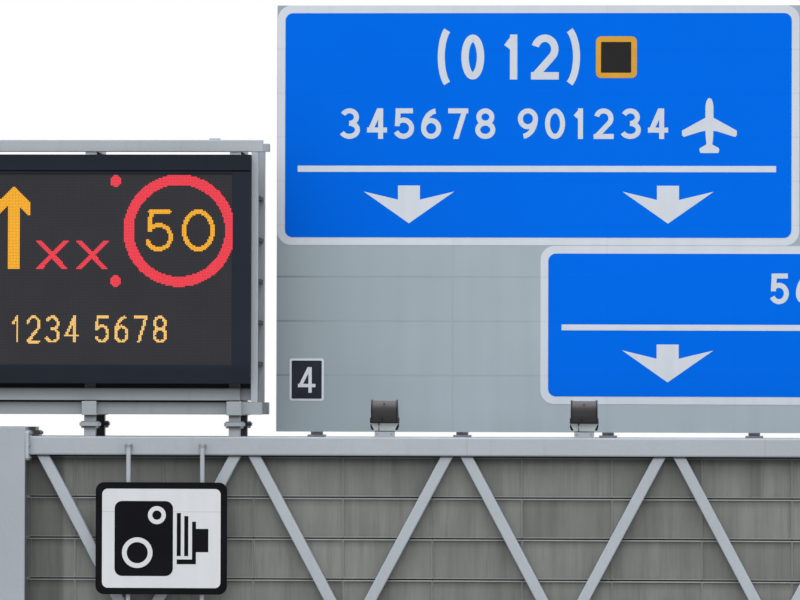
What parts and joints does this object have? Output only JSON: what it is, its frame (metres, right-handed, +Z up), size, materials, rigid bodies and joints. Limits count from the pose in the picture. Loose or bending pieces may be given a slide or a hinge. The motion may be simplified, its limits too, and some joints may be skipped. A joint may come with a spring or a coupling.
{
  "type": "overhead sign gantry",
  "caption": "Road gantry: a box truss on two tied legs with a lamp-matrix message sign, a blue lane direction sign, floodlights and a camera warning sign.",
  "frame": {"origin": "on the ground, below the middle of the span and midway between the two trusses", "axes": "+X along the span, to the right as traffic sees it; traffic meets the -Y face; +Z up"},
  "size_m": [20.244, 2.12, 14.795],
  "materials": {
    "steel": "weathered satin grey paint",
    "tray": "stained grey coated sheet",
    "pad": "white paint",
    "navy": "dark navy powder coat",
    "screen": "matt black lamp matrix",
    "rail": "mill finish",
    "panel": "matt grey sheeting",
    "white": "white reflective sheeting",
    "blue": "blue reflective sheeting",
    "black": "black sheeting",
    "lamp": "dark die casting, satin",
    "glass": "clear toughened glass"
  },
  "bodies": {
    "root": {"base_plates": "steel", "base_gussets": "steel", "left_front_leg": "steel", "left_rear_leg": "steel", "right_front_leg": "steel", "right_rear_leg": "steel", "leg_caps": "steel", "left_leg_bracing": "steel", "right_leg_bracing": "steel", "leg_landing_plates": "steel", "truss_end_plates": "steel", "front_top_chord": "steel", "front_bottom_chord": "steel", "rear_top_chord": "steel", "rear_bottom_chord": "steel", "front_diagonals": "steel", "rear_diagonals": "steel", "top_bracing": "steel", "floor_beams": "steel", "floor_plates": "tray", "tray_rails": "tray", "wall_trays": "tray", "tray_seals": "black", "message_lower_stubs": "steel", "message_upper_stubs": "steel", "message_lower_frame": "steel", "message_packers": "steel", "message_upper_frame": "steel", "message_pads": "pad", "message_seals": "black", "message_posts": "steel", "message_rungs": "black", "message_top_frame": "steel", "message_housing": "navy", "message_bezel": "navy", "message_screen": "screen", "message_doors": "navy", "sign_feet": "steel", "sign_posts": "steel", "sign_rails": "rail", "sign_planks": "panel", "sign_borders": "white", "sign_fields": "blue", "number_plate": "black", "camera_sign_pads": "steel", "camera_sign_tubes": "rail", "camera_sign_channels": "rail", "camera_sign_plate": "black", "floodlight_bases": "steel", "floodlight_stirrups": "rail", "floodlight_lamps": "lamp", "floodlight_glasses": "glass"}
  },
  "joints": []
}
